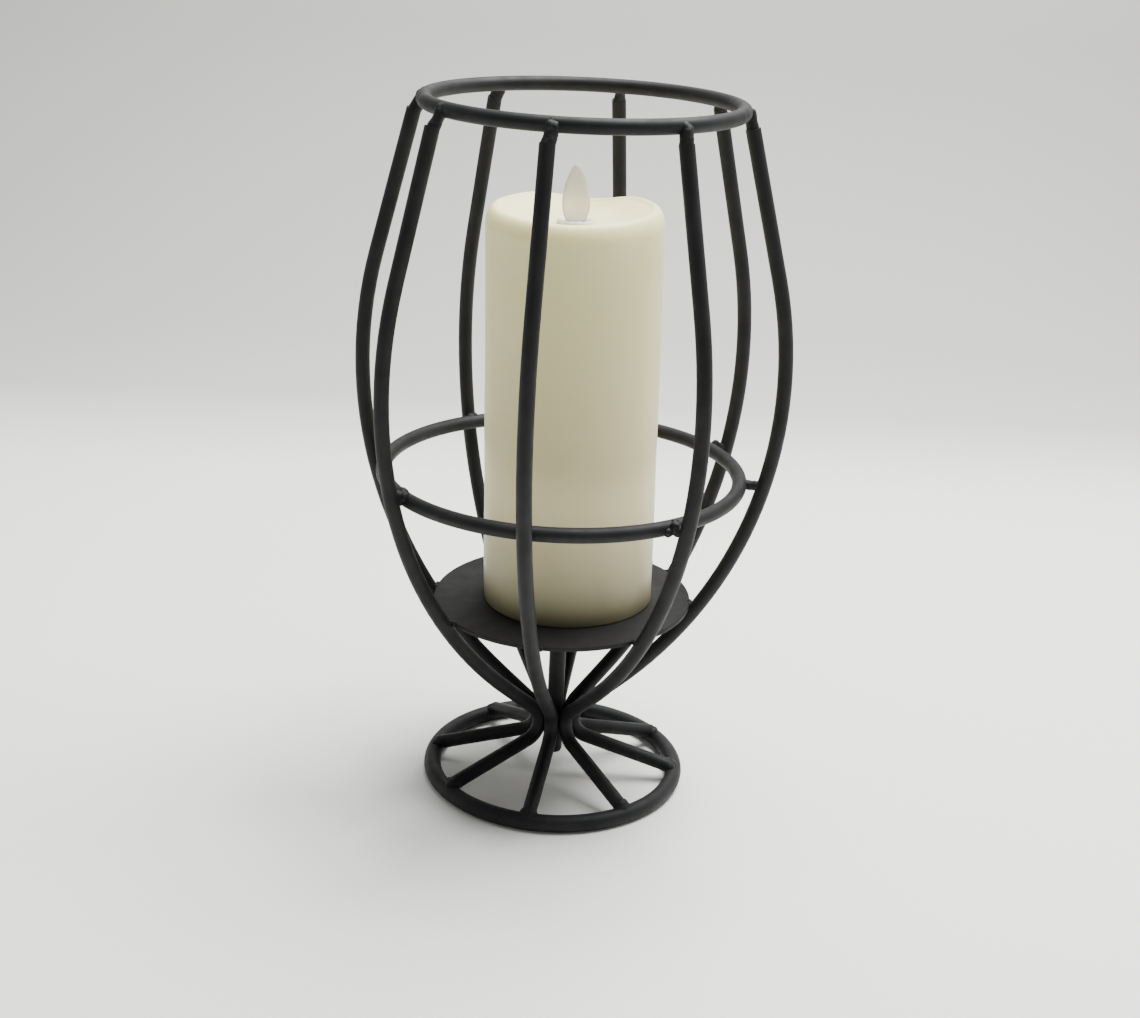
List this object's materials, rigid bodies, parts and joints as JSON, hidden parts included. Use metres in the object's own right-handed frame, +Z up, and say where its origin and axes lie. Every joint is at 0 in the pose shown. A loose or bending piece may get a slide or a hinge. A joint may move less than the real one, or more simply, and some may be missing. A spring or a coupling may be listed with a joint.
{
  "type": "pillar candle holder",
  "caption": "Goblet-shaped cage of bent black wires on a spoked foot, with a flat plate that carries an ivory flameless pillar candle inside.",
  "frame": {"origin": "on the cage's axis, on the surface that the base ring stands on", "axes": "+Z up, along the cage's axis; +X to the right and +Y away, as seen from the front"},
  "size_m": [0.1879, 0.1854, 0.3082],
  "materials": {
    "black_steel": "satin black powder coat over welded steel wire",
    "black_plate": "satin black powder coat over sheet steel",
    "ivory_wax": "ivory paraffin wax, smooth and slightly translucent",
    "white_plastic": "moulded white plastic",
    "flame_plastic": "translucent frosted plastic",
    "clear_plastic": "clear lamp resin",
    "black_plastic": "moulded black plastic",
    "bright_steel": "plated steel",
    "copper": "enamelled copper winding",
    "board_green": "coated circuit board",
    "lead_red": "insulated lead",
    "cell_wrap": "plain wrapped dry cell"
  },
  "bodies": {
    "holder": {"base_ring": "black_steel", "rib_1": "black_steel", "rib_2": "black_steel", "rib_3": "black_steel", "rib_4": "black_steel", "rib_5": "black_steel", "rib_6": "black_steel", "rib_7": "black_steel", "rib_8": "black_steel", "middle_ring": "black_steel", "top_ring": "black_steel", "candle_plate": "black_plate", "center_post": "black_steel", "top_welds": "black_steel", "middle_welds": "black_steel", "plate_welds": "black_steel", "base_welds": "black_steel", "neck_welds": "black_steel", "post_weld": "black_steel"},
    "candle": {"wax_shell": "ivory_wax", "flame_collar": "white_plastic", "base_cup": "white_plastic", "core_tube": "white_plastic", "battery_tray": "white_plastic", "pivot_pin": "bright_steel", "coil": "copper", "led": "clear_plastic", "circuit_board": "board_green", "flame_leads": "lead_red", "batteries": "cell_wrap", "contact_plates": "bright_steel", "tray_screws": "bright_steel", "core_screws": "bright_steel", "switch_body": "black_plastic"},
    "flame": {"flame_paddle": "flame_plastic", "flame_magnet": "bright_steel"},
    "battery_cover": {"battery_cover": "white_plastic", "contact_strip": "bright_steel"},
    "switch_knob": {"switch_knob": "black_plastic"}
  },
  "joints": [
    {"name": "candle_lift", "type": "slide", "parent": "holder", "child": "candle", "axis": [-0.0218, 0, 0.9998], "range_m": [0, 0.225]},
    {"name": "flame_swing", "type": "hinge", "parent": "candle", "child": "flame", "pos_m": [-0.00028, 0, 0.24803], "axis": [0, 1, 0], "range_deg": [-8, 8]},
    {"name": "cover_twist", "type": "hinge", "parent": "candle", "child": "battery_cover", "pos_m": [0.00311, 0, 0.09257], "axis": [-0.0218, 0, 0.9998], "range_deg": [0, 30]},
    {"name": "switch_slide", "type": "slide", "parent": "candle", "child": "switch_knob", "axis": [0.9998, 0, 0.0218], "range_m": [0, 0.003]}
  ]
}
